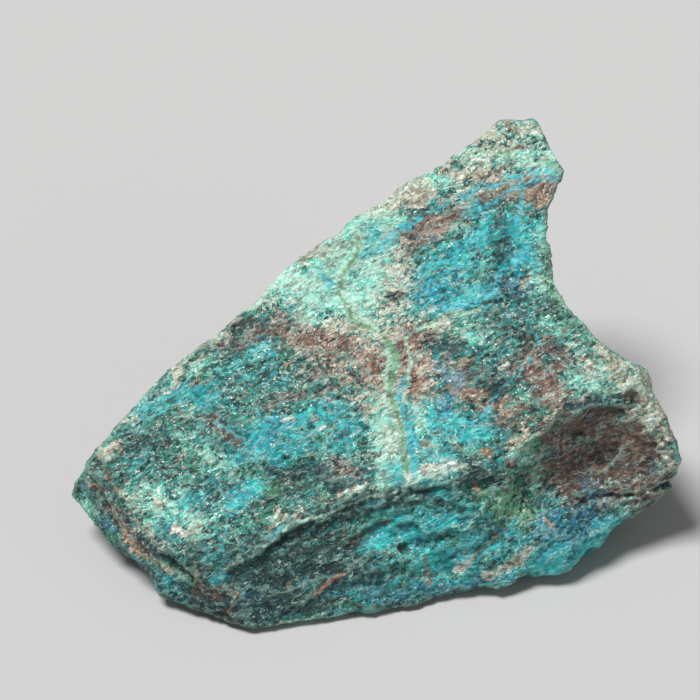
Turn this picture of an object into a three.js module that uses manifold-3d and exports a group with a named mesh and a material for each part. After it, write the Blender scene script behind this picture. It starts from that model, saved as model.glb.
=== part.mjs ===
// A rough, hand-sized lump of chrysocolla rock, broken on every side.
//
// Units are millimetres and +Z is up. The stone stands on its underside, a flat break at z = 0, with
// the origin under the middle of its box. +X runs along the length of the stone. Its broad show face
// leans back and looks towards -Y and up, and rises to a blunt horn at the back right.
// The whole stone is one solid: a hull of fracture corners, hollowed by a few shell-shaped chips and
// then roughened, with its underside left flat. Corners are given with the left front of the
// underside near y = 0, and the finished stone is moved over the origin.

import * as THREE from "three";
import { ConvexGeometry } from "three/addons/geometries/ConvexGeometry.js";
import { ImprovedNoise } from "three/addons/math/ImprovedNoise.js";
import { mergeVertices } from "three/addons/utils/BufferGeometryUtils.js";
import Module from "manifold-3d";

// ---- Driving dimensions -------------------------------------------------------------------------

// The show face is one leaning plane: its height at the middle of the front edge, and how fast it
// rises to the right and to the back.
const SHOW_FACE = { height: 15, riseRight: 0.13, riseBack: 0.7 };

// Corners of the show face in plan, clockwise from its left end.
const SHOW_CORNERS = [
  [-47, 38],
  [-28.5, 51.5],
  [-6.5, 64.5],
  [19, 77.3],
  [27.5, 81.6],
  [35, 81],
  [39, 73.5],
  [49, 37.5],
  [46.5, 28.5],
  [27, 19.7],
  [20, 18.6],
  [-6.5, 14],
  [-24, 8.8],
  [-40, 14],
];

// Corners of the broken sides: the front belt just above the underside, the two ends, the back.
const SIDE_CORNERS = [
  [-29.5, 4.5, 13],
  [-38, 6.5, 13],
  [-51, 19.5, 21],
  [-60.5, 28, 24],
  [-25, 0.4, 1.6],
  [-37, 5.5, 2.5],
  [-45, 8.5, 3],
  [-58, 24, 8],
  [-65, 31, 13],
  [2, 6.6, 1.6],
  [17, 10.3, 2.6],
  [30, 12.8, 3.4],
  [39, 17.8, 3.6],
  [50, 25, 5],
  [61, 29.5, 11],
  [64, 29.5, 16],
  [65.5, 30, 23],
  [62.5, 31.5, 31.5],
  [56.5, 35.5, 42],
  [58, 48, 28],
  [51, 58, 28],
  [43.5, 63, 29],
  [37, 79, 38],
  [34, 87, 70],
  [21, 91, 46],
  [-10, 79, 38],
  [-35, 62, 29],
  [-58, 42, 14],
];

// Corners of the flat underside in plan.
const BASE_CORNERS = [
  [-24, 3.2],
  [5, 9.5],
  [18, 13],
  [36, 20.5],
  [47, 28],
  [54, 41],
  [47, 62],
  [29, 80],
  [5, 81],
  [-27, 67],
  [-46, 51],
  [-54, 38],
  [-47, 22],
  [-37, 9.5],
];

// Chips broken out of the hull. Each is a lumpy ellipsoid: its middle, its three radii, and its tilt
// in degrees about X, Y and Z.
const CHIPS = {
  neck: { at: [71.5, 66, 56], radii: [34, 110, 34], tiltDeg: [-40, 0, 0] },
  scar: { at: [51.5, 18.6, 27.5], radii: [20, 12, 18], tiltDeg: [-6, 0, 6] },
  underRidge: { at: [-4, 4.8, 20], radii: [34, 9, 8], tiltDeg: [0, -12, 11] },
  frontHollow: { at: [14, -44, 26], radii: [62, 58, 56], tiltDeg: [0, 0, 0] },
  leftStep: { at: [-59, 9.5, 3], radii: [14, 13, 12], tiltDeg: [0, 10, -40] },
  rightLedge: { at: [58, 21.5, 2], radii: [10, 9.5, 10], tiltDeg: [0, 0, 30] },
  backHollow: { at: [-30, 118, 62], radii: [58, 54, 56], tiltDeg: [0, 0, 0] },
  backFlake: { at: [54, 104, 22], radii: [36, 36, 34], tiltDeg: [0, 0, 0] },
};
const CHIP_DETAIL = 5; // How finely a chip's ellipsoid is divided.
// The lumps of a chip before it is stretched: their depth and spacing as shares of its radius.
const CHIP_LUMPS = [
  { share: 0.1, spacing: 0.75 },
  { share: 0.05, spacing: 0.3 },
];

// Facet size of the roughened surface, and the depth and spacing of its relief.
const MAX_EDGE = 6;
const RELIEF = [
  { depth: 1.7, spacing: 21 },
  { depth: 0.9, spacing: 8 },
];
const FLAT_BAND = 3; // The relief fades out over this height above the underside.

const MERGE_DISTANCE = 1e-3;
const ROCK_LOOK = { color: 0x2f7f86, roughness: 0.72, metalness: 0 };

// ---- Solids -------------------------------------------------------------------------------------

const wasm = await Module();
wasm.setup();
const noise = new ImprovedNoise();

/** A closed geometry as a manifold solid. */
function solidFrom(geometry) {
  const bare = new THREE.BufferGeometry();
  bare.setAttribute("position", geometry.getAttribute("position").clone());
  bare.setIndex(geometry.getIndex());
  const merged = mergeVertices(bare, MERGE_DISTANCE);
  return new wasm.Manifold(
    new wasm.Mesh({
      numProp: 3,
      vertProperties: Float32Array.from(merged.getAttribute("position").array),
      triVerts: Uint32Array.from(merged.getIndex().array),
    }),
  );
}

/** Smooth noise from about -1 to 1 at a point, with lumps of the given spacing. */
function noiseAt(point, spacing) {
  return noise.noise(point.x / spacing, point.y / spacing, point.z / spacing);
}

/** A point on the show face, from its place in plan. */
function onShowFace([x, y]) {
  const z = SHOW_FACE.height + SHOW_FACE.riseRight * x + SHOW_FACE.riseBack * y;
  return new THREE.Vector3(x, y, z);
}

/** The unbroken block: the smallest hull that holds every fracture corner. */
function makeBlock() {
  const corners = [
    ...SHOW_CORNERS.map(onShowFace),
    ...SIDE_CORNERS.map((corner) => new THREE.Vector3(...corner)),
    ...BASE_CORNERS.map(([x, y]) => new THREE.Vector3(x, y, 0)),
  ];
  return solidFrom(new ConvexGeometry(corners));
}

/** One chip: a lumpy ball stretched to its radii and set at its place and tilt, ready to cut away. */
function makeChip({ at, radii, tiltDeg }) {
  const tilt = new THREE.Euler(...tiltDeg.map((angle) => THREE.MathUtils.degToRad(angle)));
  const placed = new THREE.Matrix4().compose(
    new THREE.Vector3(...at),
    new THREE.Quaternion().setFromEuler(tilt),
    new THREE.Vector3(...radii),
  );
  const ball = new THREE.IcosahedronGeometry(1, CHIP_DETAIL);
  const points = ball.getAttribute("position");
  const point = new THREE.Vector3();
  for (let i = 0; i < points.count; i += 1) {
    point.fromBufferAttribute(points, i);
    const lump = CHIP_LUMPS.reduce((sum, { share, spacing }) => sum + share * noiseAt(point, spacing), 1);
    points.setXYZ(i, ...point.multiplyScalar(lump));
  }
  ball.applyMatrix4(placed);
  return solidFrom(ball);
}

// ---- Roughening ---------------------------------------------------------------------------------

/** Splits every edge longer than MAX_EDGE at its middle, again and again, without leaving a gap. */
function refine(points, triangles) {
  let faces = triangles;
  for (;;) {
    const middles = new Map();
    const middleOf = (a, b) => {
      const key = a < b ? `${a},${b}` : `${b},${a}`;
      if (!middles.has(key)) {
        const isLong = points[a].distanceTo(points[b]) > MAX_EDGE;
        if (isLong) points.push(points[a].clone().lerp(points[b], 0.5));
        middles.set(key, isLong ? points.length - 1 : -1);
      }
      return middles.get(key);
    };
    const next = faces.flatMap((face) => splitFace(points, face, middleOf));
    if (next.length === faces.length) return faces;
    faces = next;
  }
}

/** Cuts one triangle along the middles of its long edges. */
function splitFace(points, face, middleOf) {
  const middles = face.map((corner, i) => middleOf(corner, face[(i + 1) % 3]));
  const longEdges = middles.filter((middle) => middle >= 0).length;
  if (longEdges === 0) return [face];
  // Turn the triangle so that the cuts below always start from the same edge.
  const isFirst = (i) => middles[i] >= 0 && (longEdges !== 2 || middles[(i + 2) % 3] < 0);
  const turn = [0, 1, 2].find(isFirst);
  const [a, b, c] = [0, 1, 2].map((i) => face[(i + turn) % 3]);
  const [ab, bc, ca] = [0, 1, 2].map((i) => middles[(i + turn) % 3]);
  if (longEdges === 1) return [[a, ab, c], [ab, b, c]];
  if (longEdges === 3) return [[a, ab, ca], [ab, b, bc], [ca, bc, c], [ab, bc, ca]];
  const fromA = points[a].distanceTo(points[bc]) < points[ab].distanceTo(points[c]);
  return fromA
    ? [[ab, b, bc], [a, ab, bc], [a, bc, c]]
    : [[ab, b, bc], [a, ab, c], [ab, bc, c]];
}

/** The outward normal at every point, weighted by the area of the triangles round it. */
function pointNormals(points, faces) {
  const normals = points.map(() => new THREE.Vector3());
  for (const [a, b, c] of faces) {
    const ab = points[b].clone().sub(points[a]);
    const ac = points[c].clone().sub(points[a]);
    const square = ab.cross(ac);
    for (const corner of [a, b, c]) normals[corner].add(square);
  }
  return normals.map((normal) => normal.normalize());
}

/** Pushes the surface in and out as broken rock, and leaves the flat underside alone. */
function roughen(points, faces) {
  const normals = pointNormals(points, faces);
  points.forEach((point, i) => {
    const fade = THREE.MathUtils.smoothstep(point.z, 0, FLAT_BAND);
    const relief = RELIEF.reduce((sum, { depth, spacing }) => sum + depth * noiseAt(point, spacing), 0);
    point.addScaledVector(normals[i], relief * fade);
  });
}

/** Reads a manifold solid back as a list of points and a list of triangles. */
function pointsAndFaces(solid) {
  const { vertProperties, triVerts, numProp } = solid.getMesh();
  const points = [];
  for (let i = 0; i < vertProperties.length; i += numProp) {
    points.push(new THREE.Vector3(...vertProperties.slice(i, i + 3)));
  }
  const faces = [];
  for (let i = 0; i < triVerts.length; i += 3) {
    faces.push([...triVerts.slice(i, i + 3)]);
  }
  return { points, faces };
}

/** Moves the stone so that the middle of its box stands over the origin. */
function centre(geometry) {
  geometry.computeBoundingBox();
  const middle = geometry.boundingBox.getCenter(new THREE.Vector3());
  geometry.translate(-middle.x, -middle.y, -geometry.boundingBox.min.z);
}

// ---- The stone ----------------------------------------------------------------------------------

function makeStone() {
  const broken = Object.values(CHIPS).reduce((stone, chip) => stone.subtract(makeChip(chip)), makeBlock());
  const { points, faces } = pointsAndFaces(broken);
  const fineFaces = refine(points, faces);
  roughen(points, fineFaces);
  const geometry = new THREE.BufferGeometry().setFromPoints(points);
  geometry.setIndex(fineFaces.flat());
  centre(geometry);
  geometry.computeVertexNormals();
  const stone = new THREE.Mesh(geometry, new THREE.MeshStandardMaterial(ROCK_LOOK));
  stone.name = "chrysocolla_stone";
  return stone;
}

const specimen = new THREE.Group();
specimen.add(makeStone());

export default specimen;
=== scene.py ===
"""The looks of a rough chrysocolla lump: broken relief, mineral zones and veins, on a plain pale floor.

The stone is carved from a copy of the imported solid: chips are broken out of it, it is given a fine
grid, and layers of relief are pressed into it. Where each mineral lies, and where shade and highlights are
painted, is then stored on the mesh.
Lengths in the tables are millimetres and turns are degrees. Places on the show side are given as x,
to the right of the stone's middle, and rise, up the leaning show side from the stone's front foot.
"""
import logging
import math
import random
from dataclasses import dataclass, field
from enum import Enum
from typing import Any, Sequence

import bpy
import numpy as np
from mathutils import Euler, Matrix, Vector


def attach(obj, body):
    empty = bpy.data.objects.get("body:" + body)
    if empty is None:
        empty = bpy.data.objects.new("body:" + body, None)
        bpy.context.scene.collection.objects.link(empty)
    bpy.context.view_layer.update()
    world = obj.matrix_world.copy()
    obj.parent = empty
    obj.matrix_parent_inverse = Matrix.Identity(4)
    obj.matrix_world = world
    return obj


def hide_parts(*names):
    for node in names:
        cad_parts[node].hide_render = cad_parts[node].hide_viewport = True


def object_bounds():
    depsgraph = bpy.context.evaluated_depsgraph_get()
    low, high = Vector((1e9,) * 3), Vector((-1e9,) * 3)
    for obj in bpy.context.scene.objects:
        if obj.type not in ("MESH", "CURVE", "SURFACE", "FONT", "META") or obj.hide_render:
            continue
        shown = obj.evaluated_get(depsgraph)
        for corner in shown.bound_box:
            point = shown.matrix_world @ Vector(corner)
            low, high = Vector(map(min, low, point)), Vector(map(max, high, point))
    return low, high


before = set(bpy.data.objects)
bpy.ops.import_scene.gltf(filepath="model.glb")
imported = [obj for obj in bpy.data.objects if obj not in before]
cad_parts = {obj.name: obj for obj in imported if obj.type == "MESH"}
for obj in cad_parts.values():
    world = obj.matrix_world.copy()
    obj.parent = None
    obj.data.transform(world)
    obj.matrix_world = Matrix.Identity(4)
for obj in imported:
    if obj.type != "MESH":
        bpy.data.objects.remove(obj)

LOG = logging.getLogger("specimen")
CAD_BOX = [list(corner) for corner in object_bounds()]
NODE = "chrysocolla_stone"
MM = 0.001
LEAN = math.radians(40)
BEDDING_TURN = math.radians(24)
SHOW_UP = Vector((0.0, math.sin(LEAN), math.cos(LEAN)))
SHOW_OUT = Vector((0.0, -math.cos(LEAN), math.sin(LEAN)))
FAR_FROM_VEIN = 9.0
CHANNELS = ("Red", "Green", "Blue")

Point = tuple[float, float]
Paint = tuple[float, float, float, float]
Triple = tuple[float, float, float]


class Mineral(Enum):
    """A kind of ground that shows as patches; the value is the mesh attribute that holds it."""

    BRIGHT = "bright_blue"
    DEEP = "deep_blue"
    MINT = "mint"
    GREEN = "malachite"
    BROWN = "brown"
    ROSE = "rose"
    RED = "cuprite"
    # Dark ground, and painted shade under the ridge, under the scar's overhanging top, in creases and along
    # the lower front.
    DARK = "dark"
    # Cream ground, and painted highlights and painted light where its patches are strongest.
    CREAM = "cream"
    OCHRE = "ochre"


class Vein(Enum):
    """A kind of thin vein; the value is the mesh attribute that holds the distance to it."""

    MALACHITE = "vein_malachite"
    CYAN = "vein_cyan"
    # Also holds the painted highlight along the ridge's crest.
    PALE = "vein_pale"
    COPPER = "vein_copper"


@dataclass(frozen=True)
class Patch:
    """A soft-edged patch along a path of (x, rise) points, with its half width."""

    path: Sequence[Point]
    width: float
    strength: float = 1.0


@dataclass(frozen=True)
class Seam:
    """A thin vein along a path of (x, rise) points, with its half width."""

    path: Sequence[Point]
    width: float


@dataclass(frozen=True)
class Bulge:
    """A place where the foot's edge swells forward: its middle, its reach and its height."""

    x: float
    rise: float
    reach: float
    height: float


@dataclass(frozen=True)
class Chip:
    """A shell-shaped break: its place, half length and half width, depth, turn and tilt."""

    x: float
    rise: float
    length: float
    width: float
    depth: float
    turn: float
    tilt: float = 0.0


PATCHES: dict[Mineral, tuple[Patch, ...]] = {
    # Turquoise grounds of the upper right, the left slope, the vein's foot and the lower side.
    Mineral.BRIGHT: (
        Patch([(12, 72), (15, 78), (19, 80), (24, 85)], 5.0),
        Patch([(21, 91), (24, 88)], 2.6),
        Patch([(28.5, 87), (32.5, 85)], 3.2),
        Patch([(31, 82), (33, 78), (28, 79)], 2.4, 1.1),
        Patch([(12, 71), (24, 73)], 3.0),
        Patch([(6, 75), (10, 70)], 2.6, 0.8),
        Patch([(17, 44.5), (22, 43)], 2.8),
        Patch([(12, 40), (15, 37)], 3.0),
        Patch([(11.5, 48), (13, 44)], 2.2),
        Patch([(-26, 42), (-18, 45), (-9, 47)], 3.6),
        Patch([(-12, 40), (-6, 41)], 2.2, 0.9),
        Patch([(-22, 38), (-16, 40.5)], 2.6),
        Patch([(-31, 37), (-27, 39)], 2.0, 0.7),
        Patch([(3.8, 35.5), (4.8, 33)], 2.0, 1.3),
        Patch([(7, 46), (8, 36)], 1.4),
        Patch([(-50, 48), (-44, 51), (-36, 51.5)], 2.3, 1.1),
        Patch([(-33, 56), (-30, 58)], 1.6, 0.8),
        Patch([(-29.5, 28.5), (-26, 31)], 2.4, 1.2),
        Patch([(-41, 28), (-37.5, 28.5)], 1.7),
        Patch([(-22.5, 21.5), (-20, 22.5)], 1.2),
        Patch([(-44, 11), (-42, 8.5)], 2.2, 0.8),
        Patch([(-34, 12), (-31.5, 12.5)], 1.3),
        Patch([(0, 20), (5, 23.5), (8.5, 21)], 3.0, 1.4),
        Patch([(12, 23), (15.5, 24.5)], 2.2),
        Patch([(12, 16.5), (19, 14.5)], 3.4, 1.1),
        Patch([(21, 17), (26, 19)], 1.8),
        Patch([(36, 16.5), (43, 15.5)], 3.0, 1.1),
        Patch([(37, 14), (45, 16), (50, 20)], 4.6, 1.4),
        Patch([(2, 12), (14, 11), (30, 14), (42, 19)], 4.0, 0.7),
        Patch([(1, 25), (10, 23.5), (20, 26)], 3.4, 0.8),
        Patch([(8, 18), (20, 20), (30, 20)], 3.4, 0.75),
        Patch([(-2, 88), (-0.5, 84.5)], 1.9),
        Patch([(-26, 59), (-23, 60.5)], 1.4, 0.8),
        Patch([(-14, 10), (-4, 9), (4, 10)], 1.8, 0.75),
        Patch([(-6.5, 44), (-4, 44.5)], 1.9, 1.1),
        Patch([(10, 32.5), (14, 31)], 1.8, 1.0),
    ),
    # Deep blue pockets.
    Mineral.DEEP: (
        Patch([(11, 74), (14, 72)], 3.0, 0.9),
        Patch([(28, 75), (31, 75)], 2.4, 0.9),
        Patch([(14, 57), (17, 54)], 2.0),
        Patch([(15, 50), (15, 47)], 1.5),
        Patch([(-24.5, 41.5), (-21.5, 43.5)], 2.3, 1.25),
        Patch([(-28.5, 9), (-24, 6)], 2.2, 0.6),
        Patch([(-57.5, 24.5), (-55.5, 23)], 1.7),
        Patch([(45, 25.5), (47, 23.5)], 2.0, 1.0),
        Patch([(38, 22.5), (44, 21)], 3.2, 1.2),
        Patch([(25, 13.5), (30, 12)], 2.0, 0.8),
        Patch([(45, 31.5), (47, 29.5)], 2.2, 0.9),
        Patch([(1, 8), (12, 9), (22, 10)], 2.2, 0.8),
        Patch([(-62, 31), (-60, 30)], 1.4, 0.7),
    ),
    # Pale grounds on the left slope, beside the vein, on the horn, the right shoulder and the foot.
    Mineral.MINT: (
        Patch([(-15, 73), (-11, 77), (-3, 87)], 5.0, 1.3),
        Patch([(-14, 70), (-3, 72), (2, 79), (2, 89)], 4.5, 1.2),
        Patch([(1, 50), (2.5, 42), (3.5, 31)], 3.2, 1.25),
        Patch([(9, 49), (11, 41), (14, 36)], 3.4, 0.9),
        Patch([(16, 62), (24, 64)], 2.6, 0.7),
        Patch([(4, 66), (7, 74)], 3.0, 0.75),
        Patch([(-9, 70), (0, 66)], 3.0, 1.2),
        Patch([(-26, 72), (-18, 76)], 3.2, 1.3),
        Patch([(-63, 27), (-60, 26)], 1.8, 0.9),
        Patch([(32, 40), (34.5, 35), (34, 31)], 2.2, 1.0),
        Patch([(2, 34), (5, 31)], 2.2, 1.25),
        Patch([(-42, 42), (-38, 41)], 2.4, 0.65),
        Patch([(1, 31.5), (8, 33), (14, 34)], 1.7, 1.3),
        Patch([(32, 106), (36, 103)], 3.0, 0.8),
        Patch([(53, 55), (58, 50)], 3.4, 1.1),
        Patch([(-47, 30), (-44, 27), (-38, 24)], 3.6, 0.9),
        Patch([(-35.5, 38), (-31, 36)], 2.3),
        Patch([(43, 54.5), (49, 51.5)], 2.4, 0.9),
        Patch([(47, 57), (53, 53), (58, 46)], 2.6, 0.9),
        Patch([(27.5, 102), (33, 101.5), (38, 99.5)], 2.3, 1.1),
        Patch([(19, 103), (24, 101)], 2.0, 0.8),
        Patch([(12, 97.5), (17, 96)], 2.3),
        Patch([(34, 75.5), (36, 74)], 1.8),
        Patch([(9, 48), (10, 45.5)], 2.0, 1.2),
        Patch([(3, 45), (3.5, 37)], 2.0, 1.1),
        Patch([(16, 40), (12, 34)], 2.0, 0.8),
        Patch([(29, 38.5), (31, 37)], 1.3),
        Patch([(7, 68), (14, 68), (22, 67)], 1.6, 0.6),
        Patch([(-40, 55), (-34, 60)], 1.6, 0.8),
        Patch([(36, 66), (42, 62)], 2.2, 0.7),
        Patch([(10, 5.5), (20, 8), (30, 10)], 1.6, 0.7),
        Patch([(-20, 1.5), (-8, 3)], 1.6, 0.6),
        Patch([(61, 39), (62, 43)], 1.8, 0.7),
        Patch([(-42, 12), (-40, 12)], 1.7, 0.85),
        Patch([(17, 87), (19, 87)], 1.9, 0.85),
        Patch([(-24, 19), (-20, 21)], 1.9, 0.8),
    ),
    # Malachite green grounds.
    Mineral.GREEN: (
        Patch([(27, 25.5), (34, 24)], 2.8, 1.1),
        Patch([(31, 41), (35, 40)], 2.0, 0.9),
        Patch([(-24, 31), (-16, 32)], 1.6),
        Patch([(26, 103.5), (28.5, 103)], 1.3, 1.1),
        Patch([(37, 100.5), (39, 98.5)], 1.5),
        Patch([(37, 76), (39, 72)], 1.8, 0.9),
        Patch([(-22, 15), (-8, 19), (2, 19)], 3.4, 0.7),
        Patch([(36, 84), (37, 79)], 1.3, 0.8),
        Patch([(22, 29), (30, 30)], 2.2, 0.7),
    ),
    # Brown grounds: the right scar, the horn's band, both sides of the vein, the left.
    Mineral.BROWN: (
        Patch([(38, 43.5), (46, 45), (54, 44)], 4.2, 1.2),
        Patch([(40, 36), (46, 37), (58, 38)], 6.0, 1.2),
        Patch([(42, 30.5), (52, 31), (62, 33)], 3.4, 1.1),
        Patch([(56, 27.5), (63, 29.5)], 2.2, 1.0),
        Patch([(45, 34), (54, 33)], 3.2, 1.3),
        Patch([(3, 84), (14, 88.5), (22, 92.5), (30, 95.5), (39, 96)], 2.4),
        Patch([(3, 79), (10, 84)], 2.2, 0.9),
        Patch([(20, 97.5), (25, 98.5)], 2.0, 0.8),
        Patch([(32, 93.5), (37, 94.5)], 2.6),
        Patch([(3, 90.5), (10, 93)], 1.8, 0.8),
        Patch([(-20, 65), (-12, 63.5), (-5, 62)], 2.4),
        Patch([(-10, 57), (0, 52.5)], 3.6, 0.9),
        Patch([(-4, 60), (1, 57)], 2.0),
        Patch([(5, 78), (9, 77)], 2.0, 0.9),
        Patch([(8.5, 61), (9, 54)], 2.6),
        Patch([(-36, 66), (-27, 66)], 2.4, 0.9),
        Patch([(-33, 62), (-24, 64)], 2.2, 0.8),
        Patch([(33, 58), (36, 52), (38, 50)], 3.6),
        Patch([(17, 53), (24, 50), (30, 46)], 3.6, 0.8),
        Patch([(37, 61), (40, 58)], 2.4, 0.9),
        Patch([(-40, 8.5), (-31, 9.5)], 2.2),
        Patch([(-9, 37), (-4, 34)], 2.4, 0.8),
        Patch([(-35, 45), (-31, 42), (-28, 40)], 1.9, 0.9),
        Patch([(-59, 31), (-53, 22), (-49, 17)], 1.7, 0.9),
        Patch([(-15, 80.5), (-8, 84)], 1.4, 0.9),
        Patch([(-26, 47), (-20, 50), (-14, 51)], 1.6, 0.6),
        Patch([(54, 51), (57, 49.5)], 1.7, 1.1),
        Patch([(59, 46.5), (61, 44)], 1.7, 0.9),
        Patch([(-11, 83), (-9, 84)], 1.3, 0.7),
    ),
    # Dusty grounds beside the vein, on the right shoulder and under the horn.
    Mineral.ROSE: (
        Patch([(-16, 64), (-6, 60), (0, 56)], 3.6, 0.9),
        Patch([(6, 64), (9, 58), (9, 51)], 3.0, 1.0),
        Patch([(34, 57), (38, 50)], 3.0, 0.75),
        Patch([(26, 96), (40, 93)], 3.0, 0.8),
        Patch([(16, 57), (23, 50), (30, 46)], 3.6, 0.75),
        Patch([(3, 74), (6, 83)], 2.6, 0.75),
        Patch([(-10, 52), (-2, 48)], 3.4, 0.6),
        Patch([(48, 59), (57, 50), (62, 42)], 3.0, 0.75),
        Patch([(56, 30), (64, 32)], 2.0, 0.6),
        Patch([(50, 41), (58, 41)], 2.8, 0.9),
        Patch([(15, 41), (18, 39.5)], 1.8, 0.6),
        Patch([(8, 84), (20, 89)], 2.6, 0.6),
        Patch([(-42, 56), (-34, 64)], 2.4, 0.5),
        Patch([(-40, 22), (-37, 23)], 1.8, 0.6),
    ),
    # Cuprite spots.
    Mineral.RED: (
        Patch([(23.5, 94.8), (25.5, 94.2)], 1.7, 1.2),
        Patch([(34, 92.7), (36, 94.5)], 1.5, 1.2),
        Patch([(-16, 63), (-7, 62)], 1.5),
        Patch([(0.3, 58), (0.8, 56)], 1.2, 1.1),
        Patch([(6.5, 64.5), (11, 63.5)], 1.6, 1.2),
        Patch([(7.8, 60), (8.3, 52)], 1.1),
        Patch([(5.4, 62), (5.7, 57), (5.2, 53)], 0.8, 1.25),
        Patch([(33, 57), (34, 53)], 1.6),
        Patch([(40, 56.5), (36, 53.5)], 1.3, 0.9),
        Patch([(-32, 4.5), (-30, 3.5)], 1.6, 1.1),
        Patch([(28, 37), (29, 36)], 1.0, 1.2),
        Patch([(40, 39), (43, 36), (47, 38)], 1.6, 0.8),
        Patch([(-6, 54), (-3, 53)], 1.4, 0.7),
        Patch([(41, 33), (43, 31)], 1.4, 0.8),
    ),
    # Dark grounds between the blue pockets, and painted shade under the ridge, in the breaks and creases
    # and under the scar's overhanging top; along the lower front both dark ground and painted shade.
    Mineral.DARK: (
        Patch([(42, 34), (44, 28)], 3.0, 0.9),
        Patch([(-29, 66), (-22, 66)], 3.0, 0.7),
        Patch([(45, 34), (53, 33)], 3.0, 0.5),
        Patch([(-55, 30), (-51, 20), (-46, 16)], 1.4, 0.7),
        Patch([(-20, 21), (-12, 25), (-4, 28), (4, 29), (14, 32)], 2.4, 1.1),
        Patch([(-31, 18), (-24, 19), (-17, 22)], 3.0, 0.9),
        Patch([(18, 34.5), (26, 34)], 1.7, 1.2),
        Patch([(-22, 30), (-13, 33)], 3.0, 0.6),
        Patch([(-54, 41), (-47, 41)], 3.0, 0.6),
        Patch([(26, 87), (27, 81), (26, 77)], 2.2, 1.1),
        Patch([(24, 73), (31, 72)], 2.2, 0.6),
        Patch([(12, 62.5), (17, 61)], 2.2),
        Patch([(25, 66), (31, 64), (38, 62)], 3.6, 0.5),
        Patch([(20, 55), (27, 53)], 2.8, 0.8),
        Patch([(-16, 57), (-10, 53)], 2.8, 0.8),
        Patch([(-21, 35), (-13, 35), (-8, 32)], 2.4, 0.9),
        Patch([(40, 48), (48, 50), (55, 49)], 1.5, 1.3),
        Patch([(-46, 17.5), (-40, 15), (-35, 12.5)], 1.4, 1.1),
        Patch([(-59.5, 28.5), (-54.5, 23)], 1.0, 1.1),
        Patch([(58, 31), (63, 31.3)], 0.9, 1.3),
        Patch([(-31, 11), (-18, 13), (-8, 17)], 5.0, 1.1),
        Patch([(-42, 6), (-34, 6), (-26, 6)], 5.0, 1.3),
        Patch([(-36, 6), (-33, 3), (-27, 3)], 4.0, 1.5),
        Patch([(-24, 6), (-14, 9), (-5, 14)], 3.4, 1.2),
        Patch([(-22, 9), (-8, 11), (2, 12)], 3.6, 1.0),
        Patch([(4, 4.5), (14, 6.5)], 3.2, 1.35),
        Patch([(-38, 60), (-30, 62)], 2.2, 0.8),
        Patch([(-32, 44), (-29, 42.5)], 2.2, 0.7),
        Patch([(-60, 37), (-57, 33)], 2.4, 0.8),
        Patch([(-40, 17), (-36, 19)], 2.6, 0.7),
        Patch([(40, 23), (45, 23)], 2.6, 0.9),
        Patch([(-6, 20), (-3, 17), (0, 16)], 2.4, 1.0),
        Patch([(24, 46), (28, 44)], 2.4, 0.7),
        Patch([(-49, 12), (-46, 12)], 2.2, 0.8),
        Patch([(-23, 43.5), (-20, 45)], 1.6, 0.7),
        Patch([(15.5, 39.5), (18, 38)], 1.6, 0.75),
        Patch([(19, 25.5), (22, 24.5)], 2.0, 0.85),
        Patch([(17, 9), (27, 9)], 1.8, 0.85),
        Patch([(47.5, 26), (50, 25)], 1.9, 0.75),
        Patch([(49, 33), (51, 33)], 1.6, 0.7),
    ),
    # Crushed quartz on the ridge, the horn's tip and the left slope, and bands beside the vein. The
    # strongest of them, on the ridge and in small white spots, are painted highlights, and the patch on the
    # right shoulder is painted light.
    Mineral.CREAM: (
        Patch([(-55, 32), (-50, 24), (-46, 19)], 1.8, 0.5),
        Patch([(24, 107), (29, 108), (35, 108)], 2.6, 0.85),
        Patch([(29, 104.5), (33, 105)], 1.2, 0.9),
        Patch([(2.2, 66.5), (4.2, 63)], 1.6, 1.1),
        Patch([(24, 12), (29, 15), (33.5, 18.5)], 1.1, 1.2),
        Patch([(17.5, 14), (20, 15.5)], 1.0, 1.1),
        Patch([(-21, 26), (-19, 24.5)], 1.6),
        Patch([(-58.5, 38.5), (-55, 40)], 1.3),
        Patch([(5, 32.5), (12, 34.5), (18.5, 36.5)], 0.8, 1.1),
        Patch([(-8, 29.8), (0, 31.5)], 0.8, 0.7),
        Patch([(-23, 22), (-15, 26.5)], 0.9, 0.8),
        Patch([(28, 40), (31.5, 43)], 1.1, 0.8),
        Patch([(34, 44.5), (38, 48.5), (45, 50.5)], 0.7, 0.7),
        Patch([(-46, 51), (-43, 53)], 1.6, 0.8),
        Patch([(3, 42.5), (3.5, 39)], 1.4, 1.1),
        Patch([(-42.8, 22.3), (-41.6, 22)], 0.8, 1.8),
        Patch([(-20, 45.2), (-17.8, 45.7)], 0.4, 1.7),
        Patch([(13.8, 66.5), (15.6, 65.8)], 0.5, 1.7),
        Patch([(6.5, 34), (10.5, 35), (16, 36.6)], 0.7, 1.65),
        Patch([(-8, 30), (-3, 31.5)], 0.5, 1.6),
        Patch([(26, 57), (28, 57.6)], 0.35, 1.6),
        Patch([(-12, 44), (-10.5, 44.6)], 0.3, 1.6),
        Patch([(0, 67), (-6, 66)], 1.2, 0.7),
        Patch([(12, 66), (16, 65)], 0.9, 0.9),
        Patch([(62, 35), (65, 36)], 1.3, 0.7),
        Patch([(-52, 48), (-36, 62), (-20, 74), (0, 92), (20, 104), (34, 107)], 4.0, 0.52),
        Patch([(2, 69), (6, 73), (5, 81)], 3.0, 0.95),
        Patch([(-1, 91), (9, 96)], 2.8, 1.2),
        Patch([(5, 92.5), (9, 93.5)], 2.2, 1.15),
        Patch([(54, 54), (60, 50)], 3.4, 1.25),
        Patch([(-5, 51), (-2, 50)], 1.8, 0.8),
        Patch([(18, 98), (24, 100)], 2.4, 0.95),
        Patch([(-10, 66), (-2, 66), (2, 67)], 1.8, 1.0),
        Patch([(-40, 59), (-34, 63)], 1.8, 0.8),
        Patch([(-12, 66), (-2, 62), (6, 66), (14, 64)], 4.0, 0.48),
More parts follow.
